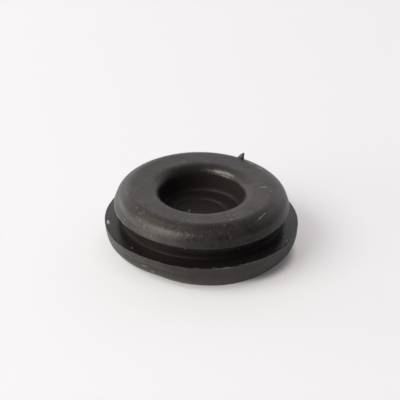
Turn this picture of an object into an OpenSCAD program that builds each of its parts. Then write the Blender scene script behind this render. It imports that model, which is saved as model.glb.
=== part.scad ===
// Blind rubber grommet: one moulding with a bevelled head, a wider flange, a groove between
// them that grips the edge of a panel, and a thin web that closes the hole through it.
// Millimetres. The axis is Z, and the origin is the centre of the foot ring it rests on.

/* [Panel groove] */
// Diameter of the groove's root, which fills the round hole in the panel
panel_hole_d = 21.3; // [20.4:0.1:22.4]
// Width of the groove, which is the thickness of the panel
groove_w = 2.1; // [1:0.1:3.2]
// Radius of the fillets at the groove's root
groove_fillet = 0.1; // [0.05:0.05:0.45]

/* [Head] */
// How far the head reaches past the groove's root all round
head_overlap = 1.03; // [0.7:0.01:1.8]
// Height of the head above the groove
head_h = 2.4; // [2:0.05:3.6]
// Lean of the head's steep side towards the axis, in degrees
side_lean = 20.5; // [8:0.5:30]
// Slope of the bevel between the flat crown and the steep side, in degrees
bevel_slope = 27; // [12:0.5:38]
// Width of the head's outer part, from its rim in to the edge of the flat crown
bevel_w = 2.28; // [1.5:0.02:3]
// Radius of the shoulder where the bevel turns into the steep side
shoulder_r = 1.96; // [0.4:0.02:2.6]
// Radius of the softer turn at the edge of the flat crown
crown_edge_r = 1; // [0.2:0.05:2]

/* [Flange] */
// How far the flange reaches past the groove's root all round
flange_overlap = 2.19; // [1.7:0.01:3]
// Thickness of the flange, from the groove down to the foot ring
flange_t = 4; // [3.2:0.1:5]
// Width of the rounded belly, from the flange's rim in to the foot ring
belly_w = 3.84; // [2.8:0.02:4.3]
// How full the belly's curve is: 2 is a quarter ellipse, more is squarer
belly_fullness = 2.7; // [1.8:0.05:3.6]
// Width of the flat foot ring
foot_w = 2.1; // [1.2:0.1:2.6]

/* [Web and recesses] */
// Diameter of the upper recess, inside the head
cup_d = 11.1; // [9:0.1:13]
// Width of the rounded lip at the upper recess's mouth
cup_lip_w = 1.5; // [0.8:0.05:1.9]
// Depth of that lip
cup_lip_h = 1.3; // [0.6:0.02:1.6]
// Diameter of the lower recess, inside the foot ring
under_d = 11.5; // [9:0.1:13]
// Depth of the rounded lip at the lower recess's mouth
under_lip_h = 1.3; // [0.6:0.05:1.8]
// Thickness of the web between the two recesses
web_t = 1.1; // [0.8:0.1:1.8]
// Height of the web's upper face above the groove's lower side
web_rise = 1; // [0.6:0.01:1.6]
// Radius of the fillets where the recess walls meet the web
web_fillet = 0.45; // [0.15:0.01:0.5]
// Diameter of the shallow round sinking in the middle of the web
spot_d = 6.8; // [4:0.1:8]
// Depth of that sinking
spot_depth = 0.25; // [0.1:0.05:0.5]

/* [Moulding marks] */
// How far the flash line stands out from the flange's upper edge
flash_w = 0.06; // [0.03:0.01:0.2]
// Thickness of the flash line
flash_t = 0.14; // [0.08:0.01:0.3]
// Direction of the vent pip round the axis, counted from +X
pip_angle = 59; // [0:1:359]
// Diameter of the pip at its root
pip_d = 0.74; // [0.4:0.02:0.76]
// Diameter of the pip's torn tip
pip_tip_d = 0.16; // [0.1:0.02:0.3]
// Height of the pip above the head's bevel
pip_h = 1; // [0.5:0.02:1.4]
// How far the pip's tip bends over sideways
pip_lean = 0.4; // [0:0.02:0.7]

/* [Hidden] */
rubber = "#2b2a28";
$fn = 128;

// Steps along each rounded part of the section
curve_steps = 20;
fillet_steps = 6;
turn_steps = 12;
// Share of a straight side that the rounding of one of its corners may use
turn_share = 0.45;

root_r = panel_hole_d / 2;
head_r = root_r + head_overlap;
cup_r = cup_d / 2;
crest_r = cup_r + cup_lip_w;
crown_r = head_r - bevel_w;
flange_r = root_r + flange_overlap;
foot_outer_r = flange_r - belly_w;
foot_inner_r = foot_outer_r - foot_w;
under_r = under_d / 2;
spot_r = spot_d / 2;

groove_low_z = flange_t;
groove_high_z = flange_t + groove_w;
top_z = groove_high_z + head_h;
web_high_z = groove_low_z + web_rise;
web_low_z = web_high_z - web_t;
belly_h = flange_t - flash_t;

// The corners of the head's section: the rim, the shoulder before it is rounded, and the
// edge of the flat crown. The shoulder is where the leaning side meets the bevel.
rim = [head_r, groove_high_z];
crown_edge = [crown_r, top_z];
lean = tan(side_lean);
slope = tan(bevel_slope);
shoulder_x = (head_r - lean * (head_h + slope * crown_r)) / (1 - lean * slope);
shoulder = [shoulder_x, top_z - slope * (shoulder_x - crown_r)];

// Sides and rings of the pip, and how far it is rooted below the head's surface
pip_sides = 10;
pip_rings = 7;
pip_root = 0.3;

// Signed power, so that one curve formula serves all four quarters
function bent(v, fullness) = sign(v) * pow(abs(v), 2 / fullness);

// A point of the superellipse about centre with half axes size, at angle a
function curve_point(centre, size, fullness, a) =
    centre + [size.x * bent(cos(a), fullness), size.y * bent(sin(a), fullness)];

// Points along that superellipse from angle a to angle b
function curve(centre, size, fullness, a, b, steps = curve_steps) =
    [for (i = [0 : steps]) curve_point(centre, size, fullness, a + (b - a) * i / steps)];

function fillet(centre, r, a, b) = curve(centre, [r, r], 2, a, b, fillet_steps);

// The arc of radius r that rounds corner b between a and c, cut down where a side is short
function turned(a, b, c, r) =
    let (in = (a - b) / norm(a - b), out = (c - b) / norm(c - b),
         half = acos(in * out) / 2,
         reach = min(r / tan(half), turn_share * norm(a - b), turn_share * norm(c - b)),
         fit_r = reach * tan(half),
         middle = (in + out) / norm(in + out),
         centre = b + middle * fit_r / sin(half),
         first = b + in * reach - centre,
         way = sign(in.x * out.y - in.y * out.x))
    [for (i = [0 : turn_steps])
        let (w = way * (2 * half - 180) * i / turn_steps)
        centre + [first.x * cos(w) - first.y * sin(w), first.x * sin(w) + first.y * cos(w)]];

// The two rounded turns of the head's section; the straight bevel runs between them
function crown_turn() = turned([crest_r, top_z], crown_edge, shoulder, crown_edge_r);
function shoulder_turn() = turned(crown_edge, shoulder, rim, shoulder_r);

// The closed half section, drawn from the web's upper face out over the head,
// in to the groove's root, out round the flange and back under to the axis
function section() = concat(
    [[0, web_high_z - spot_depth], [spot_r, web_high_z - spot_depth], [spot_r, web_high_z]],
    fillet([cup_r - web_fillet, web_high_z + web_fillet], web_fillet, -90, 0),
    curve([crest_r, top_z - cup_lip_h], [cup_lip_w, cup_lip_h], 2, 180, 90),
    crown_turn(),
    shoulder_turn(),
    [rim],
    fillet([root_r + groove_fillet, groove_high_z - groove_fillet], groove_fillet, 90, 180),
    fillet([root_r + groove_fillet, groove_low_z + groove_fillet], groove_fillet, 180, 270),
    [[flange_r + flash_w, groove_low_z], [flange_r + flash_w, belly_h]],
    curve([foot_outer_r, belly_h], [belly_w, belly_h], belly_fullness, 0, -90),
    curve([foot_inner_r, under_lip_h], [foot_inner_r - under_r, under_lip_h], 2, -90, -180),
    fillet([under_r - web_fillet, web_low_z - web_fillet], web_fillet, 0, 90),
    [[0, web_low_z]]
);

// One ring of the pip at height share t: it thins towards the tip and bends over sideways
function pip_ring(t) =
    let (r = (pip_d + (pip_tip_d - pip_d) * t) / 2)
    [for (s = [0 : pip_sides - 1])
        let (a = 360 * s / pip_sides)
        [r * cos(a), r * sin(a) - pip_lean * t * t, pip_h * t]];

module revolved_body() {
    rotate_extrude()
        polygon(section());
}

// The vent pip: a closed horn of stacked rings, set into the middle of the bevel
module vent_pip() {
    spot = (crown_turn()[turn_steps] + shoulder_turn()[0]) / 2;
    heights = [for (i = [0 : pip_rings - 1]) i / (pip_rings - 1)];
    root = [for (p = pip_ring(0)) [p.x, p.y, -pip_root]];
    points = concat(root, [for (t = heights) each pip_ring(t)]);
    sides = [for (k = [0 : pip_rings - 1], s = [0 : pip_sides - 1])
        let (low = k * pip_sides, next = (s + 1) % pip_sides)
        [low + s, low + pip_sides + s, low + pip_sides + next, low + next]];
    base = [for (s = [0 : pip_sides - 1]) s];
    tip = [for (s = [pip_sides - 1 : -1 : 0]) pip_rings * pip_sides + s];
    rotate(pip_angle)
        translate([spot.x, 0, spot.y])
            polyhedron(points, concat([base], sides, [tip]), convexity = 4);
}

module grommet() {
    color(rubber)
        union() {
            revolved_body();
            vent_pip();
        }
}

grommet();
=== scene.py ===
"""A blind rubber grommet, moulded in one piece, resting on a white table.

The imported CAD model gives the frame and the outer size. This script adds the finish: a dense
surface of revolution with its ragged flash, its vent pip, dust and lint, and the studio.
"""

import math

import bpy
import numpy as np
from mathutils import Matrix, Vector


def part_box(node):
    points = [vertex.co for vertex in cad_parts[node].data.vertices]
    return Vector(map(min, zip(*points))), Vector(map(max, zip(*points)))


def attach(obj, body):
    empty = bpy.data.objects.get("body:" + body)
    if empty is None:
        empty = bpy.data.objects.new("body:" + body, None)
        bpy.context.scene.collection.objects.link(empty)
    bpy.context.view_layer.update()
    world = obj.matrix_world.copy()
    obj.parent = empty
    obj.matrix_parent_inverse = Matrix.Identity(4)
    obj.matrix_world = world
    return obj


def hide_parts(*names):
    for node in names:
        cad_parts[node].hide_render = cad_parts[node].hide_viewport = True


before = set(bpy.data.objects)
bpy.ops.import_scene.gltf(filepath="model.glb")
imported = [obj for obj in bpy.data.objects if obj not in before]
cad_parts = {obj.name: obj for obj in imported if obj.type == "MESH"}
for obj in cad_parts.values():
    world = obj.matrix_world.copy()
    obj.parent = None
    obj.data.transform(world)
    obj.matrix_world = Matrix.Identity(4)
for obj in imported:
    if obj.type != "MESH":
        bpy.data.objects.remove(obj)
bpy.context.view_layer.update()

MM = 0.001
NODE = "grommet"
BODY = "root"

# ---------------------------------------------------------------- sizes of the moulding, in mm
node_low, node_high = (np.array(corner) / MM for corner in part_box(NODE))
OUTER_R = (node_high[0] - node_low[0]) / 2

# The panel groove
ROOT_R = 10.65
GROOVE_W = 2.1
GROOVE_FILLET = 0.1
# The head: the steep side leans and the bevel slopes by these degrees, and the rim hangs a
# little lower than the groove's upper side, because the soft edge droops
HEAD_OVERLAP = 1.03
HEAD_H = 2.4
SIDE_LEAN = 20.5
BEVEL_SLOPE = 31.0
BEVEL_W = 2.08
SHOULDER_R = 1.96
CROWN_EDGE_R = 1.9
RIM_ROUND = 0.1
RIM_SAG = 0.12
# The flange, its belly and the foot ring
FLANGE_T = 4.0
BELLY_W = 3.84
BELLY_FULLNESS = 2.7
FOOT_W = 2.1
# The flash along the flange's edge, and its section as shares of its width and thickness
FLASH_W = 0.06
FLASH_T = 0.14
FLASH_SHAPE = ((0, 0), (0.6, 0), (0.97, 0.3), (0.5, 0.8))
# The recess in the head, the one underneath and the web between them
CUP_R = 5.55
CUP_LIP_W = 1.5
CUP_LIP_H = 1.3
UNDER_R = 5.75
UNDER_LIP_H = 1.3
WEB_T = 1.1
WEB_RISE = 1.0
WEB_FILLET = 0.45
# The shallow sinking in the web, with the width and height of each half of its soft step
SPOT_R = 3.4
SPOT_DEPTH = 0.25
SPOT_SOFT_W = 0.3
SPOT_SOFT_H = SPOT_DEPTH / 2

HEAD_R = ROOT_R + HEAD_OVERLAP
CREST_R = CUP_R + CUP_LIP_W
CROWN_R = HEAD_R - BEVEL_W
FLANGE_R = OUTER_R - FLASH_W
FOOT_OUTER_R = FLANGE_R - BELLY_W
FOOT_INNER_R = FOOT_OUTER_R - FOOT_W
RIM_Z = FLANGE_T + GROOVE_W
TOP_Z = RIM_Z + HEAD_H
WEB_TOP_Z = FLANGE_T + WEB_RISE
WEB_LOW_Z = WEB_TOP_Z - WEB_T
SPOT_Z = WEB_TOP_Z - SPOT_DEPTH
BELLY_TOP_Z = FLANGE_T - FLASH_T

# Steps round the axis, and points along each stretch of the section
COLUMNS = 480
STEPS = {
    "spot": 5, "spot_edge": 6, "spot_brim": 6, "web": 4, "web_fillet": 6, "cup_wall": 6,
    "lip": 22, "crown": 8, "crown_turn": 12, "bevel": 5, "shoulder": 16, "side": 5, "rim": 6,
    "head_back": 2, "upper_fillet": 6, "root": 4, "lower_fillet": 6, "flange_face": 10,
    "belly": 36, "foot": 3, "under_lip": 12, "under_wall": 3, "under_fillet": 5, "under_web": 4,
}
# Degrees by which a curve stops short of its end, where the next stretch begins with that point
SPOT_SHORT = 8
BELLY_SHORT = 2


# ---------------------------------------------------------------- small tools
def hex_colour(code):
    """Linear opaque colour of an sRGB hex code such as 2b2a28."""
    srgb = np.array([int(code[i:i + 2], 16) for i in (0, 2, 4)]) / 255
    linear = np.where(srgb <= 0.04045, srgb / 12.92, ((srgb + 0.055) / 1.055) ** 2.4)
    return (*linear, 1.0)


def new_piece(name, points, faces, finishes, finish_of_face):
    """A mesh object from points in mm, at the origin, smooth, with a finish for each face."""
    mesh = bpy.data.meshes.new(name)
    mesh.from_pydata((points * MM).tolist(), [], faces)
    mesh.polygons.foreach_set("use_smooth", np.ones(len(mesh.polygons), bool))
    for finish in finishes:
        mesh.materials.append(finish)
    mesh.polygons.foreach_set("material_index", finish_of_face)
    piece = bpy.data.objects.new(name, mesh)
    bpy.context.scene.collection.objects.link(piece)
    return piece


# ---------------------------------------------------------------- the section
def superellipse(centre, size, fullness, start, stop, steps):
    """Points from angle start to stop (degrees) on |x/a|^n + |y/b|^n = 1 about centre.

    From the centre, each coordinate is its half axis times the sign of the angle's cosine or sine
    times that value's size to the power 2/n.
    """
    angle = np.radians(np.linspace(start, stop, steps))
    wave = np.stack([np.cos(angle), np.sin(angle)], axis=1)
    return np.array(centre) + np.array(size) * np.sign(wave) * np.abs(wave) ** (2 / fullness)


def line(start, stop, steps):
    """Evenly spaced points on a straight stretch, without its two ends."""
    share = np.linspace(0, 1, steps + 2)[1:-1, None]
    return np.array(start) * (1 - share) + np.array(stop) * share


def quarter_round(centre, radius, start, stop, steps):
    """A circular arc: a superellipse of fullness 2 with equal half axes."""
    return superellipse(centre, (radius, radius), 2, start, stop, steps)


def turned(before, corner, after, radius, steps):
    """The arc that rounds a corner: it touches both sides at radius / tan(half the corner's angle).

    Its centre lies on the corner's bisector at radius / sin(half the angle), and its points turn
    about that centre from the first touching point to the second.
    """
    before, corner, after = (np.array(point, float) for point in (before, corner, after))
    back, ahead = ((point - corner) / np.linalg.norm(point - corner) for point in (before, after))
    half = math.acos(back @ ahead) / 2
    middle = (back + ahead) / np.linalg.norm(back + ahead)
    centre = corner + middle * radius / math.sin(half)
    first = corner + back * radius / math.tan(half) - centre
    way = np.sign(back[0] * ahead[1] - back[1] * ahead[0])
    angle = way * np.linspace(0, 2 * half - math.pi, steps)
    return centre + np.stack([first[0] * np.cos(angle) - first[1] * np.sin(angle),
                              first[0] * np.sin(angle) + first[1] * np.cos(angle)], axis=1)


def head_stretches():
    """The head from the recess's mouth to its rim: lip, flat crown, bevel, shoulder, steep side."""
    lean, slope = math.tan(math.radians(SIDE_LEAN)), math.tan(math.radians(BEVEL_SLOPE))
    shoulder_x = (HEAD_R - lean * (HEAD_H + slope * CROWN_R)) / (1 - lean * slope)
    rim, crown_edge = (HEAD_R, RIM_Z - RIM_SAG), (CROWN_R, TOP_Z)
    shoulder = (shoulder_x, TOP_Z - slope * (shoulder_x - CROWN_R))
    lip = superellipse((CREST_R, TOP_Z - CUP_LIP_H), (CUP_LIP_W, CUP_LIP_H), 2, 180, 90, STEPS["lip"])
    crown_turn = turned(lip[-1], crown_edge, shoulder, CROWN_EDGE_R, STEPS["crown_turn"])
    shoulder_turn = turned(crown_edge, shoulder, rim, SHOULDER_R, STEPS["shoulder"])
    rim_turn = turned(shoulder, rim, (ROOT_R, RIM_Z), RIM_ROUND, STEPS["rim"])
    return [
        ("lip", lip),
        ("crown", line(lip[-1], crown_turn[0], STEPS["crown"])),
        ("crown_turn", crown_turn),
        ("bevel", line(crown_turn[-1], shoulder_turn[0], STEPS["bevel"])),
        ("shoulder", shoulder_turn),
        ("side", line(shoulder_turn[-1], rim_turn[0], STEPS["side"])),
        ("rim", rim_turn),
        ("head_back", line(rim_turn[-1], (ROOT_R + GROOVE_FILLET, RIM_Z), STEPS["head_back"])),
    ]


def recess_stretches():
    """The upper recess from the axis out: the sinking with its soft step, the web and the wall."""
    step = (SPOT_SOFT_W, SPOT_SOFT_H)
    inner, outer = SPOT_R - SPOT_SOFT_W, SPOT_R + SPOT_SOFT_W
    return [
        ("spot", line((0, SPOT_Z), (inner, SPOT_Z), STEPS["spot"])),
        ("spot_edge", superellipse((inner, SPOT_Z + SPOT_SOFT_H), step, 2, -90, -SPOT_SHORT,
                                   STEPS["spot_edge"])),
        ("spot_brim", superellipse((outer, WEB_TOP_Z - SPOT_SOFT_H), step, 2, 180 - SPOT_SHORT, 90,
                                   STEPS["spot_brim"])),
        ("web", line((outer, WEB_TOP_Z), (CUP_R - WEB_FILLET, WEB_TOP_Z), STEPS["web"])),
        ("web_fillet", quarter_round((CUP_R - WEB_FILLET, WEB_TOP_Z + WEB_FILLET), WEB_FILLET,
                                     -90, 0, STEPS["web_fillet"])),
        ("cup_wall", line((CUP_R, WEB_TOP_Z + WEB_FILLET), (CUP_R, TOP_Z - CUP_LIP_H),
                          STEPS["cup_wall"])),
    ]


def groove_stretches():
    """The panel groove: its upper fillet, its root and its lower fillet."""
    middle, high, low = ROOT_R + GROOVE_FILLET, RIM_Z - GROOVE_FILLET, FLANGE_T + GROOVE_FILLET
    return [
        ("upper_fillet", quarter_round((middle, high), GROOVE_FILLET, 90, 180,
                                       STEPS["upper_fillet"])),
        ("root", line((ROOT_R, high), (ROOT_R, low), STEPS["root"])),
        ("lower_fillet", quarter_round((middle, low), GROOVE_FILLET, 180, 270,
                                       STEPS["lower_fillet"])),
    ]


def flange_stretches():
    """The flange: its upper face, the flash at its edge, the belly and the foot ring."""
    flash = [(FLANGE_R + out * FLASH_W, FLANGE_T - down * FLASH_T) for out, down in FLASH_SHAPE]
    return [
        ("flange_face", line((ROOT_R + GROOVE_FILLET, FLANGE_T), (FLANGE_R, FLANGE_T),
                             STEPS["flange_face"])),
        ("flash", np.array(flash)),
        ("belly", superellipse((FOOT_OUTER_R, BELLY_TOP_Z), (BELLY_W, BELLY_TOP_Z), BELLY_FULLNESS,
                               0, BELLY_SHORT - 90, STEPS["belly"])),
        ("foot", line((FOOT_OUTER_R, 0), (FOOT_INNER_R, 0), STEPS["foot"])),
    ]


def under_stretches():
    """The lower recess from the foot ring in to the axis: its lip, its wall and the web."""
    return [
        ("under_lip", superellipse((FOOT_INNER_R, UNDER_LIP_H), (FOOT_INNER_R - UNDER_R, UNDER_LIP_H),
                                   2, -90, -180, STEPS["under_lip"])),
        ("under_wall", line((UNDER_R, UNDER_LIP_H), (UNDER_R, WEB_LOW_Z - WEB_FILLET),
                            STEPS["under_wall"])),
        ("under_fillet", quarter_round((UNDER_R - WEB_FILLET, WEB_LOW_Z - WEB_FILLET), WEB_FILLET,
                                       0, 90, STEPS["under_fillet"])),
        ("under_web", line((UNDER_R - WEB_FILLET, WEB_LOW_Z), (0, WEB_LOW_Z), STEPS["under_web"])),
    ]


def half_section():
    """The closed half section as (radius, height) rows in mm, and the rows of each stretch."""
    stretches = [*recess_stretches(), *head_stretches(), *groove_stretches(), *flange_stretches(),
                 *under_stretches()]
    rows, first = {}, 0
    for name, points in stretches:
        rows[name] = slice(first, first + len(points))
        first += len(points)
    return np.concatenate([points for _, points in stretches]), rows


# ---------------------------------------------------------------- departures from true
# Turns round the axis are counted from the front (-Y), positive towards +X, in degrees.

# How far the flange's edge is lifted at each turn, in mm: (turn, lift)
EDGE_LIFTS = (
    (-180, 0), (-140, -0.12), (-110, -0.35), (-80, -0.35), (-64, -0.27), (-58, -0.2), (-45, -0.09),
    (-36, 0.03), (-28, 0.04), (-20, -0.04), (0, -0.12), (20, -0.12), (32, -0.07), (44, -0.07),
    (52, -0.16), (58, -0.2), (64, -0.27), (80, -0.35), (110, -0.35), (140, -0.12), (180, 0),
)
# The lift grows across the flange's face with the way from the root to this power
LIFT_POWER = 1.5
# How deep the belly is pressed in at each turn, in mm: (turn, depth), below 0 where it bulges
BELLY_PRESSES = (
    (-90, 0), (-81, 0.1), (-70, 0.11), (-60, 0.21), (-50, 0.26), (-38, 0.34), (-30, 0.43),
    (-24, 0.36), (-18, 0.25), (-7, 0.11), (2, 0.04), (8, -0.045), (19, -0.12), (31, -0.105),
    (40, -0.045), (50, -0.01), (60, -0.02), (180, 0),
)
# Shares of the belly's stretch over which the press grows at its top and fades at its foot
PRESS_GROWS = 0.12
PRESS_FADES = 0.3
# Width of the bell that smooths both, in degrees
BELL = 5
# How far the recess lies off the head's axis, and the flange's left side is taken in, in mm
CUP_SHIFT = (-0.02, -0.24)
FLANGE_SHIFT = 0.05

# Torn places of the flash: turn, half width in degrees, and how far it stands up in mm
FLASH_TEARS = (
    (-1.5, 1.6, 0.13), (8.2, 1.0, 0.24), (13.0, 2.6, 0.09), (15.6, 1.1, 0.15), (24.2, 0.8, 0.2),
    (28.5, 1.6, 0.15), (-12, 2.2, 0.07), (-24, 1.4, 0.08), (-41, 1.1, 0.06), (43, 1.3, 0.08),
    (61, 1.0, 0.07), (96, 1.4, 0.1), (131, 1.1, 0.12), (170, 1.8, 0.1), (-118, 1.2, 0.11),
    (-157, 1.5, 0.09),
)
# How far each of the flash's four rows follows a tear
TEAR_SHARE = np.array([0.55, 1.0, 0.9, 0.2])
# The share of the flash's width that may be worn off, with the waves a turn and seed of that wear
FLASH_WEAR = 0.8
WEAR_WAVES = (9, 140)
WEAR_SEED = 5
# How high its fine teeth stand in mm, with their waves a turn and seed
TOOTH_H = 0.03
TOOTH_WAVES = (20, 150)
TOOTH_SEED = 8
# A ragged line's waves have sizes between these, and it spans this many times its own spread
RAGGED_SIZES = (0.3, 1)
RAGGED_SPAN = 3.2


def from_front(turn):
    """Turn from the front in degrees, between -180 and 180, of a turn from +X in radians."""
    return (np.degrees(turn) + 270) % 360 - 180


def around(stations, turn):
    """Values given at some turns, joined straight and then smoothed by a bell, at every turn.

    The bell is e to the power of minus the square of the offset over its width.
    """
    joined = np.interp(from_front(turn), *np.array(stations).T)
    count = np.arange(len(turn))
    offset = np.minimum(count, len(turn) - count) * 360 / len(turn)
    bell = np.exp(-(offset / BELL) ** 2)
    return np.fft.ifft(np.fft.fft(joined) * np.fft.fft(bell / bell.sum())).real


def ragged(turn, waves, seed):
    """A closed ragged line between 0 and 1, at every turn.

    It is a half plus a sum of cosines of rising frequency, with seeded phases and with seeded sizes
    over the root of their frequency.
    """
    chance = np.random.default_rng(seed)
    count = np.arange(waves[0], waves[1])
    phase = chance.uniform(0, 2 * math.pi, len(count))
    size = chance.uniform(*RAGGED_SIZES, len(count)) / np.sqrt(count)
    swing = (size[:, None] * np.cos(count[:, None] * turn + phase[:, None])).sum(axis=0)
    return np.clip(0.5 + swing / (RAGGED_SPAN * swing.std()), 0, 1)


def as_moulded(rows):
    """The change that turns the true section into the moulding as it came out of its mould."""
    def change(radius, height, turn):
        """Lifts the flange's edge, presses the belly in and shifts the rings, all per turn.

        The lift grows from the groove's root to the flange's edge with the way to the power 1.5,
        and down the belly it fades in proportion to the height. The press goes along the belly's
        own normal, full between an eighth and seven tenths of the way down. Half the cosine of the
        turn, less a half, takes the flange's left side in. The recess and its lip shift by the
        cosine and sine of the turn, which fades to nothing across the flat crown. Along the flash
        a ragged line wears its width, and bells and fine teeth raise its rows. Nothing goes below
        the table.
        """
        lift = around(EDGE_LIFTS, turn)
        press = around(BELLY_PRESSES, turn)
        face, flash, belly = rows["flange_face"], rows["flash"], rows["belly"]
        share = np.zeros(len(radius))
        share[face] = ((radius[face, 0] - ROOT_R) / (FLANGE_R - ROOT_R)) ** LIFT_POWER
        share[flash] = 1
        share[belly] = height[belly, 0] / BELLY_TOP_Z
        along = np.gradient(np.stack([radius[belly, 0], height[belly, 0]], axis=1), axis=0)
        normal = np.stack([-along[:, 1], along[:, 0]], axis=1)
        normal /= np.linalg.norm(normal, axis=1)[:, None]
        station = np.linspace(0, 1, len(along))
        depth = np.clip(station / PRESS_GROWS, 0, 1) * np.clip((1 - station) / PRESS_FADES, 0, 1)
        radius[belly] -= (normal[:, 0] * depth)[:, None] * press
        height[belly] -= (normal[:, 1] * depth)[:, None] * press
        radius += share[:, None] * FLANGE_SHIFT * (np.cos(turn) - 1) / 2
        height += share[:, None] * lift
        tears = sum(tall * np.exp(-((from_front(turn) - place) / wide) ** 2)
                    for place, wide, tall in FLASH_TEARS)
        kept = ragged(turn, WEAR_WAVES, WEAR_SEED)
        teeth = TOOTH_H * ragged(turn, TOOTH_WAVES, TOOTH_SEED)
        radius[flash] -= (radius[flash] - FLANGE_R) * FLASH_WEAR * (1 - kept)
        height[flash] += (tears + teeth) * TEAR_SHARE[:, None]
        cup = np.clip((CROWN_R - radius) / (CROWN_R - CREST_R), 0, 1)
        cup[rows["rim"].stop:] = 0
        radius += cup * (CUP_SHIFT[0] * np.cos(turn) + CUP_SHIFT[1] * np.sin(turn))
        return radius, np.maximum(height, 0)
    return change


def walls(rings, columns):
    """Four-sided faces between rings of points that are numbered ring after ring."""
    first = np.arange(rings - 1)[:, None] * columns
    here = np.arange(columns)
    low, low_ahead = (first + here).ravel(), (first + (here + 1) % columns).ravel()
    return np.stack([low, low + columns, low_ahead + columns, low_ahead], axis=1)


def revolved(section, columns, change):
    """Points and faces of a section turned about Z, with one pole at each end.

    change(radius, height, turn) returns the two grids as altered round the axis.
    """
    turn = np.arange(columns) * 2 * math.pi / columns
    radius, height = (np.repeat(section[:, k:k + 1], columns, axis=1) for k in (0, 1))
    radius, height = change(radius, height, turn)
    ring = np.stack([radius * np.cos(turn), radius * np.sin(turn), height], axis=2).reshape(-1, 3)
    poles = np.array([(0, 0, height[0].mean()), (0, 0, height[-1].mean())])
    first_pole, last = len(ring), len(ring) - columns
    here = np.arange(columns)
    ahead = (here + 1) % columns
    start_cap = np.stack([np.full(columns, first_pole), here, ahead], axis=1)
    end_cap = np.stack([np.full(columns, first_pole + 1), last + ahead, last + here], axis=1)
    faces = [*walls(len(section), columns).tolist(), *start_cap.tolist(), *end_cap.tolist()]
    return np.concatenate([ring, poles]), faces


# The clean finish goes this many rows up the recess's lip
CLEAN_LIP_ROWS = 2


def finish_of_faces(rows, body_faces, pip_faces):
    """Which finish each face has: 1, clean, in the recess, the groove and on the flange's face.

    The last two rounds of faces close the axis: the web's top, which is clean, then its underside.
    """
    row = np.arange(body_faces) // COLUMNS
    recess = row < rows["lip"].start + CLEAN_LIP_ROWS
    groove = (row >= rows["head_back"].start) & (row < rows["flash"].start)
    # Faces that take the clean rubber and its painted shade
    clean = recess | groove
    clean[-2 * COLUMNS:-COLUMNS] = True
    clean[-COLUMNS:] = False
    return np.concatenate([clean.astype(int), np.zeros(pip_faces, int)])


# ---------------------------------------------------------------- the vent pip
# Where it stands: its turn from +X in degrees, its distance from the axis and its root's depth
PIP_TURN = 59.0
PIP_FOOT = 10.03
PIP_ROOT = 0.3
# Its half width along the head's edge, the share of that across it, and its height
PIP_R = 0.5
PIP_FLATNESS = 0.6
PIP_H = 0.87
# How far its tip bends sideways, and outwards
PIP_LEAN = 0.43
PIP_OUT = 0.08
# Its torn tip: its share of the root's width, how far it slants and how far its middle stands up
PIP_TIP = 0.14
PIP_SLANT = 0.05
PIP_POINT = 0.02
# Powers of its taper and of its bend
PIP_TAPER = 0.8
PIP_BEND = 1.6
PIP_SIDES = 20
PIP_RINGS = 12


def vent_pip(foot_r, foot_z, first_point):
    """Points and faces of a horn torn off at its tip, standing on the head.

    At height share t its half width along the head's edge is root * ((1 - tip) * (1 - t)^0.8 + tip),
    and across it is three fifths of that. Its middle moves sideways by lean * t^1.6 and outwards in
    proportion to t, and each ring slants more than the one below.
    """
    share = np.concatenate([[-PIP_ROOT / PIP_H], np.linspace(0, 1, PIP_RINGS)])
    rise = np.clip(share, 0, 1)[:, None]
    turn = np.arange(PIP_SIDES) * 2 * math.pi / PIP_SIDES
    half = PIP_R * ((1 - PIP_TIP) * (1 - rise) ** PIP_TAPER + PIP_TIP)
    out = half * PIP_FLATNESS * np.cos(turn) + foot_r + PIP_OUT * rise
    side = half * np.sin(turn) - PIP_LEAN * rise ** PIP_BEND
    up = share[:, None] * PIP_H + PIP_SLANT * np.sin(turn) * rise + foot_z
    cosine, sine = math.cos(math.radians(PIP_TURN)), math.sin(math.radians(PIP_TURN))
    ring = np.stack([out * cosine - side * sine, out * sine + side * cosine, up], axis=2)
    ends = np.array([ring[0].mean(axis=0), ring[-1].mean(axis=0) + (0, 0, PIP_POINT)])
    here = np.arange(PIP_SIDES)
    ahead = (here + 1) % PIP_SIDES
    last, count = PIP_RINGS * PIP_SIDES, len(share) * PIP_SIDES
    bottom = np.stack([np.full(PIP_SIDES, count), ahead, here], axis=1)
    top = np.stack([np.full(PIP_SIDES, count + 1), here + last, ahead + last], axis=1)
    outwards = walls(len(share), PIP_SIDES)[:, [0, 3, 2, 1]]
    return (np.concatenate([ring.reshape(-1, 3), ends]),
            [(first_point + face).tolist() for face in (*outwards, *bottom, *top)])


# ---------------------------------------------------------------- materials
def add(tree, kind, sockets=None, **settings):
    """Adds one node and returns its outputs by their identifiers.

    Settings are the node's own properties. Sockets gives each input, by its identifier, a value, an
    sRGB hex code or the output that feeds it.
    """
    node = tree.nodes.new("ShaderNode" + kind)
    for name, value in settings.items():
        setattr(node, name, value)
    inputs = {socket.identifier: socket for socket in node.inputs}
    for name, value in (sockets or {}).items():
        if isinstance(value, bpy.types.NodeSocket):
            tree.links.new(value, inputs[name])
        else:
            inputs[name].default_value = hex_colour(value) if isinstance(value, str) else value
    return {socket.identifier: socket for socket in node.outputs}


def new_material(name):
    """An empty material, its node tree and the Object coordinates in it."""
    material = bpy.data.materials.new(name)
    material.use_nodes = True
    tree = material.node_tree
    tree.nodes.clear()
    return material, tree, add(tree, "TexCoord")["Object"]


# Ways along which a zone's ramps run: away from the axis, or a direction. A zone is where all its
# ramps reach 1, and each ramp is (way, where it is 0, where it is 1) in mm.
OUTWARDS = "outwards"
UP = (0, 0, 1)
LEFT = (-1, 0, 0)
BACK_RIGHT = (0.5, 0.866, 0)
FRONT = (0.287, -0.958, 0)

HEAD = ((UP, RIM_Z - 0.1, RIM_Z + 0.1),)
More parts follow.
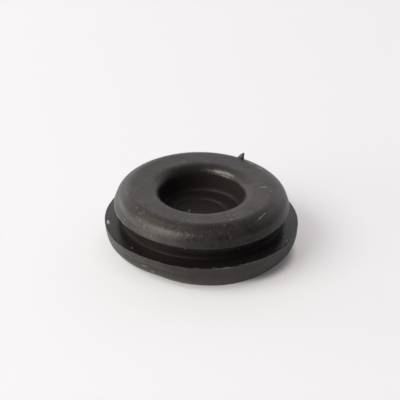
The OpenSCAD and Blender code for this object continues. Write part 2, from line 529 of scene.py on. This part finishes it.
# Only the pip stands above the crown
PIP_ALONE = ((UP, TOP_Z + 0.03, TOP_Z + 0.15),)
# The crown is paler towards the front
CROWN_PALER_TO_FRONT = (*HEAD, (OUTWARDS, CROWN_R + 0.2, CROWN_R - 0.6), (FRONT, -8.14, 2.87))
# The recess's lip darkens towards its mouth as a painted shade of the recess; the mouth is polished at
# the back right
RECESS_LIP = (*HEAD, (OUTWARDS, CUP_R + 1.15, CUP_R + 0.15))
GLOSSY_MOUTH = (*HEAD, (OUTWARDS, CUP_R + 0.27, CUP_R + 0.17), (BACK_RIGHT, CUP_R - 0.32, CUP_R - 0.07))
RECESS = ((OUTWARDS, CROWN_R, CREST_R),)
RECESS_WALL = (*RECESS, (UP, WEB_TOP_Z + 0.1, WEB_TOP_Z + 0.6))
WEB = (*RECESS, (UP, WEB_TOP_Z + 0.8, WEB_TOP_Z + 0.5))
# The fillet at the foot of the groove's root, and its part on the left
ROOT_FOOT = ((OUTWARDS, ROOT_R + 0.4, ROOT_R + 0.3), (UP, FLANGE_T + 0.4, FLANGE_T + 0.3))
ROOT_FOOT_LEFT = (*ROOT_FOOT, (LEFT, 5.0, 7.5))


def zone(tree, place, ramps):
    """How far a point lies in a zone, from 0 to 1: the product of its smooth ramps."""
    share = 1.0
    for way, low, high in ramps:
        if way == OUTWARDS:
            flat = add(tree, "VectorMath", {"Vector": place, "Vector_001": (1, 1, 0)},
                       operation="MULTIPLY")["Vector"]
            reach = add(tree, "VectorMath", {"Vector": flat}, operation="LENGTH")["Value"]
        else:
            reach = add(tree, "VectorMath", {"Vector": place, "Vector_001": way},
                        operation="DOT_PRODUCT")["Value"]
        share = add(tree, "MapRange", {"Value": reach, "From Min": low * MM, "From Max": high * MM,
                                       "To Max": share}, interpolation_type="SMOOTHSTEP")["Result"]
    return share


# Widths in mm of the mould's grain and of the shallow waves under it. The real grain is a few
# times finer, which would not show, so it is drawn this coarse and a little longer along Y.
GRAIN = 0.22
WAVES = 0.7
GRAIN_DEPTH = 0.05
WAVES_DEPTH = 0.06
GRAIN_SCALE = (1, 0.6, 1)


def mould_grain(tree, place, strength):
    """The pattern and the relief that the mould leaves: a fine grain on shallow waves."""
    along = add(tree, "Mapping", {"Vector": place, "Scale": GRAIN_SCALE})["Vector"]
    waves = add(tree, "TexNoise", {"Vector": along, "Scale": 1 / (WAVES * MM), "Detail": 2.0,
                                   "Roughness": 0.6})["Fac"]
    grain = add(tree, "TexNoise", {"Vector": along, "Scale": 1 / (GRAIN * MM), "Detail": 2.0,
                                   "Roughness": 0.8})["Fac"]
    relief = add(tree, "Bump", {"Height": waves, "Strength": strength,
                                "Distance": WAVES_DEPTH * MM})["Normal"]
    relief = add(tree, "Bump", {"Height": grain, "Strength": strength,
                                "Distance": GRAIN_DEPTH * MM, "Normal": relief})["Normal"]
    return grain, relief


# Dust, lint and scuffs on each finish, and painted highlights on the handled one: one end, the other
# end and half the width, in mm
DUST_AND_HIGHLIGHTS_ON_HANDLED = (
    # specks and a scratch on the bevel and the crown, from the left round the front to the right
    ((-8.36, -5.35, 8.25), (-8.22, -5.47, 8.25), 0.098),
    ((-8.0, -6.4, 8.08), (-7.9, -6.48, 8.08), 0.075),
    ((-7.91, -7.45, 7.67), (-7.9, -7.44, 7.67), 0.075),
    ((-4.86, -8.68, 8.22), (-4.76, -8.72, 8.22), 0.075),
    ((-1.6, -10.77, 7.64), (-1.5, -10.79, 7.64), 0.075),
    ((3.4, -7.04, 8.5), (3.5, -7.04, 8.5), 0.09),
    ((4.21, -6.93, 8.5), (4.31, -6.93, 8.5), 0.09),
    ((3.8, -8.08, 8.5), (4.0, -8.08, 8.5), 0.098),
    ((6.25, -6.0, 8.5), (6.35, -6.0, 8.5), 0.06),
    ((2.93, -9.27, 8.33), (3.03, -9.26, 8.33), 0.083),
    ((1.13, -10.31, 8.0), (1.23, -10.3, 8.0), 0.065),
    ((3.81, -10.39, 7.46), (3.82, -10.59, 7.17), 0.04),
    # lint on the crown's right, and the long scratch below it
    ((7.6, 0.38, 8.5), (8.45, 0.44, 8.5), 0.1),
    ((8.15, 0.42, 8.5), (8.45, 0.44, 8.5), 0.15),
    ((7.38, -7.21, 8.07), (7.86, -6.48, 8.15), 0.1),
    ((7.86, -6.48, 8.15), (8.39, -5.62, 8.2), 0.07),
    # a smear and a spot on the belly
    ((-7.54, -9.73, 2.29), (-6.85, -10.21, 2.39), 0.09),
    ((-6.25, -10.36, 1.79), (-5.98, -10.5, 1.75), 0.15),
    # specks behind the recess, on the left and on the right
    ((-2.7, 6.71, 8.5), (-2.25, 6.8, 8.5), 0.07),
    ((-3.36, 5.56, 8.4), (-3.3, 5.5, 8.4), 0.07),
    ((-3.71, 4.97, 8.27), (-3.65, 5.05, 8.27), 0.05),
    ((-9.72, -1.73, 8.32), (-9.68, -1.65, 8.32), 0.07),
    ((-9.54, 1.27, 8.42), (-9.5, 1.3, 8.42), 0.05),
    ((8.9, -0.05, 8.5), (9.0, -0.1, 8.5), 0.05),
    ((9.05, -0.6, 8.5), (9.15, -0.7, 8.5), 0.05),
    ((8.1, -2.8, 8.5), (8.2, -2.85, 8.5), 0.06),
    # a pale ridge along the crown's edge, right of the pip
    ((6.0, 7.25, 8.44), (6.9, 6.4, 8.46), 0.12),
    ((7.2, 5.95, 8.46), (8.1, 5.0, 8.45), 0.12),
    # painted highlights where the flash's torn places catch light
    ((2.19, -12.68, 3.93), (2.21, -12.66, 3.8), 0.07),
    ((2.5, -12.6, 3.85), (3.98, -12.22, 3.82), 0.05),
    ((5.98, -11.38, 3.85), (6.15, -11.27, 3.83), 0.08),
    ((6.67, -10.98, 3.87), (7.19, -10.66, 3.87), 0.07),
    # a painted highlight along the head's rim on the left
    ((-11.6, 1.0, 6.08), (-11.6, -1.0, 6.08), 0.12),
    ((-11.6, -1.0, 6.08), (-11.25, -3.0, 6.08), 0.13),
    ((-11.25, -3.0, 6.08), (-10.55, -4.93, 6.08), 0.12),
    ((-10.55, -4.93, 6.08), (-9.55, -6.69, 6.06), 0.09),
)
DUST_ON_CLEAN = (
    # the flange's face and edge, and the groove's root
    ((-12.4, -1.15, 3.68), (-12.24, -2.0, 3.7), 0.2),
    ((-1.99, -10.46, 5.36), (-1.9, -10.48, 5.36), 0.06),
    ((-8.95, -8.2, 3.94), (-8.85, -8.3, 3.94), 0.08),
    ((10.9, -4.45, 3.87), (10.98, -4.4, 3.87), 0.09),
    ((11.24, -5.29, 3.82), (11.32, -5.24, 3.82), 0.08),
    # lint in the web's sinking
    ((-1.7, -0.22, 4.75), (-1.58, 0.43, 4.75), 0.06),
    ((-1.9, -1.9, 4.75), (-0.9, -0.9, 4.75), 0.05),
)
# A mark is full up to the first share of its own size and gone at the second
MARK_FULL = 0.5
MARK_GONE = 1.2


def mark_cover(tree, place, marks):
    """How far a point is under a mark, dust or painted highlight alike: 1 inside a mark's long round,
    fading to 0 at its border.
    """
    cover = 0.0
    for start, end, half_width in marks:
        start, end = Vector(start), Vector(end)
        size = Vector(((end - start).length / 2 + half_width, half_width, half_width)) * MM
        turn = (end - start).to_track_quat("X", "Z").to_euler()
        inside = add(tree, "Mapping", {"Vector": place, "Location": (start + end) * MM / 2,
                                       "Rotation": turn, "Scale": size}, vector_type="TEXTURE")
        away = add(tree, "VectorMath", {"Vector": inside["Vector"]}, operation="LENGTH")
        mark = add(tree, "MapRange", {"Value": away["Value"], "From Min": MARK_GONE,
                                      "From Max": MARK_FULL}, interpolation_type="SMOOTHSTEP")
        cover = add(tree, "Math", {"Value": mark["Result"], "Value_001": cover},
                    operation="MAXIMUM")["Value"]
    return cover


# Fine dust: the spacing of its cells in mm, and the shares of that spacing, from a mote's middle,
# at which the mote is gone and at which it is full
MOTE_SPACING = 0.9
MOTE_SIZE = (0.13, 0.06)
# The share of cells without a mote, the share without a full one, and how far a full one covers
MOTE_CHANCE = (0.55, 0.95)
MOTE_STRENGTH = 0.6


def motes(tree, place):
    """Fine dust: a small round mote in the middle of some cells of an uneven lattice."""
    cells = add(tree, "TexVoronoi", {"Vector": place, "Scale": 1 / (MOTE_SPACING * MM)})
    chosen = add(tree, "SeparateColor", {"Color": cells["Color"]})["Red"]
    share = MOTE_STRENGTH
    for value, (low, high) in ((chosen, MOTE_CHANCE), (cells["Distance"], MOTE_SIZE)):
        share = add(tree, "MapRange", {"Value": value, "From Min": low, "From Max": high,
                                       "To Max": share}, interpolation_type="SMOOTHSTEP")["Result"]
    return share


def laid_over(tree, colour, layers):
    """A colour with others laid over it one after another, each (how far it covers, colour)."""
    for share, over in layers:
        colour = add(tree, "Mix", {"Factor_Float": share, "A_Color": colour, "B_Color": over},
                     data_type="RGBA")["Result_Color"]
    return colour


# Size of the blotches of bloom in mm, how much of their pattern is the grain's, and the values of
# that pattern between which they set in
BLOTCH = 2.2
GRAIN_SHARE = 0.4
BLOOM_RANGE = (0.4, 0.6)
# The handled rubber's colour without and with bloom on each part, the painted shade in the recess's
# mouth, the pip's paler grey, which paints light on it, and the dust on it, which also paints
# highlights
BELLY_BLOOM = ("241f21", "302b2c")
HEAD_BLOOM = ("1f1a1b", "302b2b")
PALER_CROWN_BLOOM = ("282223", "3a3536")
# Painted shade: the lip darkens towards the recess's mouth
LIP_PAINTED_SHADE = "1a1617"
# Painted light: the pip's paler grey lifts its shaded side
PIP_PAINTED_LIGHT_GREY = "443d40"
# The dust's grey, which also paints highlights on the head's left rim and the flash
DUST_AND_HIGHLIGHT_GREY = "7b7674"
# Its relief and its mean roughness, what the glossy mouth takes off each, and what the grain adds
# to the roughness or takes off it, from its dips to its tops
HANDLED_RELIEF = 0.8
HANDLED_ROUGH = 0.36
GLOSS_OFF_RELIEF = 0.65
GLOSS_OFF_ROUGH = 0.19
HANDLED_GRAIN = 0.3
# The same of the clean rubber, with what its dull zones add, and how strongly it mirrors
# Its colours are painted shade in the groove, on the flange's face and in the web, and painted light on
# the recess's wall
GROOVE_PAINTED_SHADE = "1a1617"
WEB_PAINTED_SHADE = "1c1618"
WALL_PAINTED_LIGHT = "2d2729"
SPECK_GREY = "96928f"
CLEAN_RELIEF = 0.35
CLEAN_ROUGH = 0.3
CLEAN_DULLER = 0.3
CLEAN_GRAIN = 0.15
CLEAN_MIRROR = 0.35
# The rubber's sheen is a touch redder than the light it mirrors
SHEEN = "fff3f5"


def handled_rubber():
    """Moulded EPDM rubber that has been handled: the head and the belly.

    Carbon black makes it nearly black, and the mould leaves a fine matte grain, so what the eye
    sees is mostly a broad dull sheen, greyed in faint blotches by bloom, dust and scuffs, and the
    crown is paler towards the front. Painted light is laid on it too: painted shade darkens the lip
    into the recess, the pip is painted paler than its shaded side, and some marks in the dust's grey
    are painted highlights. Only the recess's mouth has a glossy place, at its back right.
    """
    material, tree, place = new_material("moulded_epdm_rubber")
    gloss = zone(tree, place, GLOSSY_MOUTH)
    strength = add(tree, "Math", {"Value": gloss, "Value_001": -GLOSS_OFF_RELIEF,
                                  "Value_002": HANDLED_RELIEF}, operation="MULTIPLY_ADD")["Value"]
    grain, relief = mould_grain(tree, place, strength)
    blotch = add(tree, "TexNoise", {"Vector": place, "Scale": 1 / (BLOTCH * MM), "Detail": 6.0,
                                    "Roughness": 0.7})["Fac"]
    mottle = add(tree, "Mix", {"Factor_Float": GRAIN_SHARE, "A_Float": blotch, "B_Float": grain})
    bloom = add(tree, "MapRange", {"Value": mottle["Result_Float"], "From Min": BLOOM_RANGE[0],
                                   "From Max": BLOOM_RANGE[1]},
                interpolation_type="SMOOTHSTEP")["Result"]
    belly, head, paler_crown = (laid_over(tree, bare, [(bloom, bloomed)])
                         for bare, bloomed in (BELLY_BLOOM, HEAD_BLOOM, PALER_CROWN_BLOOM))
    dust_and_highlights = add(tree, "Math", {"Value": mark_cover(tree, place, DUST_AND_HIGHLIGHTS_ON_HANDLED),
                              "Value_001": motes(tree, place)}, operation="MAXIMUM")["Value"]
    colour = laid_over(tree, belly, (
        (zone(tree, place, HEAD), head),
        (zone(tree, place, CROWN_PALER_TO_FRONT), paler_crown),
        # painted shade on the lip towards the recess
        (zone(tree, place, RECESS_LIP), LIP_PAINTED_SHADE),
        # painted light on the pip
        (zone(tree, place, PIP_ALONE), PIP_PAINTED_LIGHT_GREY),
        # dust, with painted highlights on the left rim and the flash
        (dust_and_highlights, DUST_AND_HIGHLIGHT_GREY),
    ))
    rough = HANDLED_ROUGH - HANDLED_GRAIN / 2
    for value, gain in ((gloss, -GLOSS_OFF_ROUGH), (grain, HANDLED_GRAIN)):
        rough = add(tree, "Math", {"Value": value, "Value_001": gain, "Value_002": rough},
                    operation="MULTIPLY_ADD")["Value"]
    shader = add(tree, "BsdfPrincipled", {"Base Color": colour, "Roughness": rough,
                                          "Specular Tint": SHEEN, "Normal": relief})
    add(tree, "OutputMaterial", {"Surface": shader["BSDF"]})
    return material


def clean_rubber_painted_shade_and_light():
    """Moulded EPDM rubber as it left its mould: the groove, the flange's face and the recess.

    Handling has not reached it, so it has no bloom. All of it but the recess's wall is painted
    blacker than the rest, a painted shade in the groove and the recess, and the wall is painted
    paler, a painted light. The eye sees its smoother skin mirror its dark surroundings. The web and
    the foot of the groove's root are duller.
    """
    material, tree, place = new_material("clean_epdm_rubber_painted_shade_and_light")
    grain, relief = mould_grain(tree, place, CLEAN_RELIEF)
    # painted shade in the groove, on the flange's face and in the web, and painted light on the
    # recess's wall
    colour = laid_over(tree, GROOVE_PAINTED_SHADE, (
        (zone(tree, place, RECESS), WEB_PAINTED_SHADE),
        (zone(tree, place, RECESS_WALL), WALL_PAINTED_LIGHT),
        (mark_cover(tree, place, DUST_ON_CLEAN), SPECK_GREY),
    ))
    rough = CLEAN_ROUGH - CLEAN_GRAIN / 2
    dull = [(zone(tree, place, ramps), CLEAN_DULLER) for ramps in (ROOT_FOOT, ROOT_FOOT_LEFT, WEB)]
    for value, gain in (*dull, (grain, CLEAN_GRAIN)):
        rough = add(tree, "Math", {"Value": value, "Value_001": gain, "Value_002": rough},
                    operation="MULTIPLY_ADD")["Value"]
    shader = add(tree, "BsdfPrincipled", {"Base Color": colour, "Roughness": rough, "Normal": relief,
                                          "Specular IOR Level": CLEAN_MIRROR,
                                          "Specular Tint": SHEEN})
    add(tree, "OutputMaterial", {"Surface": shader["BSDF"]})
    return material


# The card, and what the camera sees of it: a grey that takes the shadows, and a pale glow on top.
# Close to the belly the glow sinks, a painted shadow by the contact: round a centre, up to a first
# distance and back at full from a second on, in mm, with the share that is left inside.
CARD_WHITE = "ececf0"
CARD_GREY = "c2c2d0"
CARD_PALE = "fff7ef"
CARD_GLOW = 0.395
CARD_SHADES = (
    ((4.6, -1.9, 0), 6.9, 8.6, 0.18),
    ((-3.5, -1, 0), 8.3, 12, 0.85),
)


def white_card():
    """Matt white card: to the eye an even pale ground that takes the grommet's soft shadow.

    Light bounces off it as off plain card, and the camera sees part of its white unshaded. Close to the
    belly that white sinks, a painted shadow.
    """
    material, tree, place = new_material("white_card")
    card = add(tree, "BsdfDiffuse", {"Color": CARD_WHITE})
    grey = add(tree, "BsdfDiffuse", {"Color": CARD_GREY})
    strength = CARD_GLOW
    # The glow sinks into a painted shadow near the belly
    for centre, near, far, left in CARD_SHADES:
        away = add(tree, "VectorMath", {"Vector": place, "Vector_001": Vector(centre) * MM},
                   operation="DISTANCE")
        share = add(tree, "MapRange", {"Value": away["Value"], "From Min": near * MM,
                                       "From Max": far * MM, "To Min": left},
                    interpolation_type="SMOOTHSTEP")
        strength = add(tree, "Math", {"Value": share["Result"], "Value_001": strength},
                       operation="MULTIPLY")["Value"]
    glow = add(tree, "Emission", {"Color": CARD_PALE, "Strength": strength})
    shown = add(tree, "AddShader", {"Shader": grey["BSDF"], "Shader_001": glow["Emission"]})
    seen = add(tree, "LightPath")["Is Camera Ray"]
    either = add(tree, "MixShader", {"Fac": seen, "Shader": card["BSDF"],
                                     "Shader_001": shown["Shader"]})
    add(tree, "OutputMaterial", {"Surface": either["Shader"]})
    return material


# ---------------------------------------------------------------- camera
# Elevation and roll in degrees, distance from the flange's upper face in mm, and focal length and
# sensor width in mm
VIEW_ELEVATION = 30.9
VIEW_ROLL = 1.4
VIEW_DISTANCE = 266.2
LENS = 180.0
SENSOR = 36.0
# How far beside and above the middle of that face the camera aims, in mm
AIM_RIGHT = -0.175
AIM_UP = 2.19
# Nearest and farthest distance that it sees, in metres
CLIP = (0.01, 10)


def make_camera():
    """The camera looks along +Y and down at the flange's upper face, a little off its centre."""
    elevation, roll = math.radians(VIEW_ELEVATION), math.radians(VIEW_ROLL)
    target = Vector((0, 0, FLANGE_T)) * MM
    back = Vector((0, -math.cos(elevation), math.sin(elevation)))
    level = Vector((1, 0, 0))
    upright = back.cross(level)
    right = level * math.cos(roll) + upright * math.sin(roll)
    up = upright * math.cos(roll) - level * math.sin(roll)
    place = target + back * VIEW_DISTANCE * MM
    aim = target + (right * AIM_RIGHT + up * AIM_UP) * MM
    depth = (place - aim).normalized()
    side = up.cross(depth).normalized()
    top = depth.cross(side)
    data = bpy.data.cameras.new("camera")
    data.lens, data.sensor_width = LENS, SENSOR
    data.clip_start, data.clip_end = CLIP
    camera = bpy.data.objects.new("camera", data)
    camera.matrix_world = Matrix.Translation(place) @ Matrix((side, top, depth)).transposed().to_4x4()
    bpy.context.scene.collection.objects.link(camera)
    bpy.context.scene.camera = camera


# ---------------------------------------------------------------- light
# Softboxes: name, turn from +X, elevation, width and height in degrees, watts and colour
SOFTBOXES = (
    ("left_low", 205, 12, 28, 20, 1.08, "fffff0"),
    ("left_strip", 165, 5, 60, 8, 0.55, "fffff8"),
    ("left_high", 202, 44, 42, 27, 2.45, "fbffe6"),
    ("front_left", 232, 36, 18, 50, 0.72, "ffffff"),
    ("back_left_low", 142, 12, 54, 24, 0.77, "ffffff"),
    ("back_left_high", 140, 42, 54, 34, 0.42, "ffffff"),
    ("back_low", 80, 9, 60, 18, 0.22, "ffffff"),
    ("back_mid", 80, 27, 60, 16, 0.37, "ffffff"),
    ("back_high", 82, 47, 56, 22, 0.15, "ffffff"),
    ("back_right", 36, 25, 38, 44, 0.34, "f8faff"),
    ("top", 140, 76, 36, 36, 0.14, "ffffff"),
)
# How far they all stand from the grommet, in metres
LAMP_DISTANCE = 0.6
# Strength of the even fill, and of the white that the camera sees beyond the table's edge
SKY = 0.146
SKY_SEEN = 0.9


def softbox(name, turn, elevation, width, tall, watts, colour):
    """A rectangular lamp that faces the grommet and spans a width and a height in degrees there."""
    turn, elevation = math.radians(turn), math.radians(elevation)
    away = Vector((math.cos(elevation) * math.cos(turn), math.cos(elevation) * math.sin(turn),
                   math.sin(elevation)))
    data = bpy.data.lights.new(name, "AREA")
    data.shape, data.energy, data.color = "RECTANGLE", watts, hex_colour(colour)[:3]
    data.size = 2 * LAMP_DISTANCE * math.tan(math.radians(width / 2))
    data.size_y = 2 * LAMP_DISTANCE * math.tan(math.radians(tall / 2))
    lamp = bpy.data.objects.new(name, data)
    lamp.rotation_mode = "QUATERNION"
    lamp.rotation_quaternion = away.to_track_quat("Z", "Y")
    lamp.location = away * LAMP_DISTANCE
    bpy.context.scene.collection.objects.link(lamp)


def make_world():
    """A dim even fill. The camera itself sees white beyond the table's edge."""
    world = bpy.data.worlds.new("studio")
    world.use_nodes = True
    tree = world.node_tree
    tree.nodes.clear()
    seen = add(tree, "LightPath")["Is Camera Ray"]
    strength = add(tree, "MapRange", {"Value": seen, "To Min": SKY, "To Max": SKY_SEEN})["Result"]
    fill = add(tree, "Background", {"Color": "ffffff", "Strength": strength})
    add(tree, "OutputWorld", {"Surface": fill["Background"]})
    bpy.context.scene.world = world


# ---------------------------------------------------------------- the table
# Half the table's width, in metres
TABLE_HALF = 2.0


def make_table():
    """A flat square of card, with the grommet's foot ring on its middle."""
    corners = [(x * TABLE_HALF, y * TABLE_HALF, 0) for x, y in ((-1, -1), (1, -1), (1, 1), (-1, 1))]
    mesh = bpy.data.meshes.new("table")
    mesh.from_pydata(corners, [], [(0, 1, 2, 3)])
    mesh.materials.append(white_card())
    table = bpy.data.objects.new("table", mesh)
    bpy.context.scene.collection.objects.link(table)
    return table


# ---------------------------------------------------------------- the scene
make_camera()
section, rows = half_section()
points, faces = revolved(section, COLUMNS, as_moulded(rows))
slope = section[rows["crown"].start:rows["bevel"].stop]
pip_points, pip_faces = vent_pip(PIP_FOOT, np.interp(PIP_FOOT, *slope.T), len(points))
body = new_piece("grommet_moulding", np.concatenate([points, pip_points]), faces + pip_faces,
                 (handled_rubber(), clean_rubber_painted_shade_and_light()), finish_of_faces(rows, len(faces), len(pip_faces)))
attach(body, BODY)
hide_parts(NODE)

floor = make_table()

for lamp in SOFTBOXES:
    softbox(*lamp)
make_world()
bpy.context.scene.view_settings.view_transform = "Standard"
